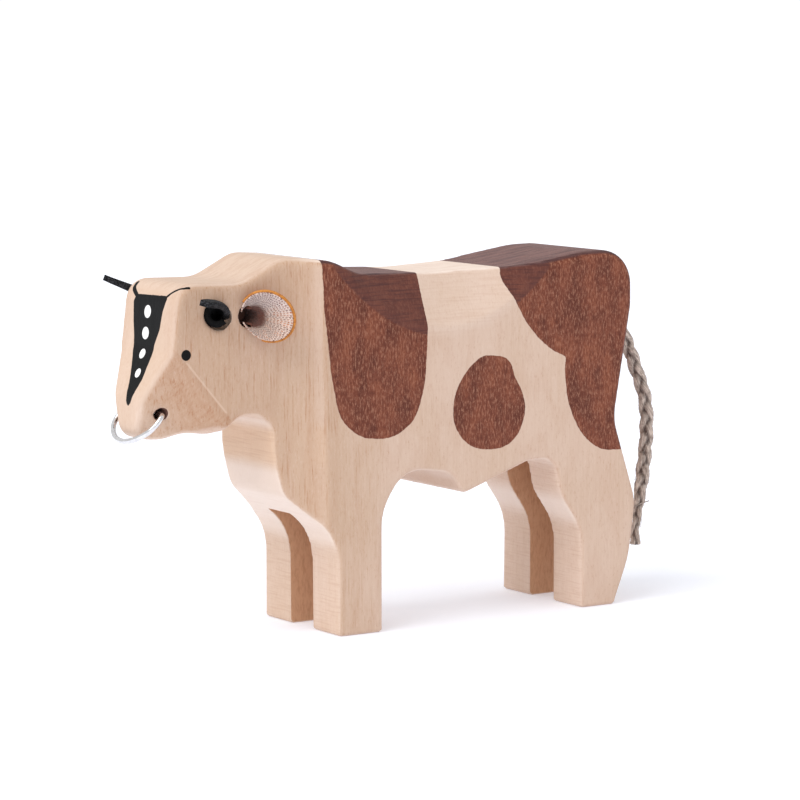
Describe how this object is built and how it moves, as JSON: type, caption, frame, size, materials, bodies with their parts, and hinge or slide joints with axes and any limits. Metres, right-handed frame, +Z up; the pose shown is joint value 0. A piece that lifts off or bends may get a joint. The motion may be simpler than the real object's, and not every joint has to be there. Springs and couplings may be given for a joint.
{
  "type": "wooden bull figurine",
  "caption": "Standing bull sawn from one board, with rolled leather horns, cupped leather ears with a cloth lining, a swinging open nose ring and a plaited cord tail.",
  "frame": {"origin": "on the ground under the middle of the figure, measured without the tail cord", "axes": "+Z up, -X towards the head, +Y towards the bull's right side"},
  "size_m": [0.1353, 0.0408, 0.0791],
  "materials": {
    "wood": "fine sanded pale wood under thin clear oil, with brown stain patches",
    "horn_leather": "black dyed leather, matt",
    "ear_leather": "tan split leather",
    "ear_lining": "off-white woven cloth with a brown thread",
    "ring_steel": "bright drawn wire",
    "tail_cord": "plaited bast fibre"
  },
  "bodies": {
    "figure": {"body": "wood", "horn_left": "horn_leather", "horn_right": "horn_leather", "ear_leather_left": "ear_leather", "ear_leather_right": "ear_leather", "ear_lining_left": "ear_lining", "ear_lining_right": "ear_lining", "tail_root": "tail_cord", "tail_cord": "tail_cord"},
    "ring": {"nose_ring": "ring_steel"}
  },
  "joints": [
    {"name": "ring_swing", "type": "hinge", "parent": "figure", "child": "ring", "pos_m": [-0.05454, 0, 0.04831], "axis": [0, 1, 0], "range_deg": [-44, 78]}
  ]
}
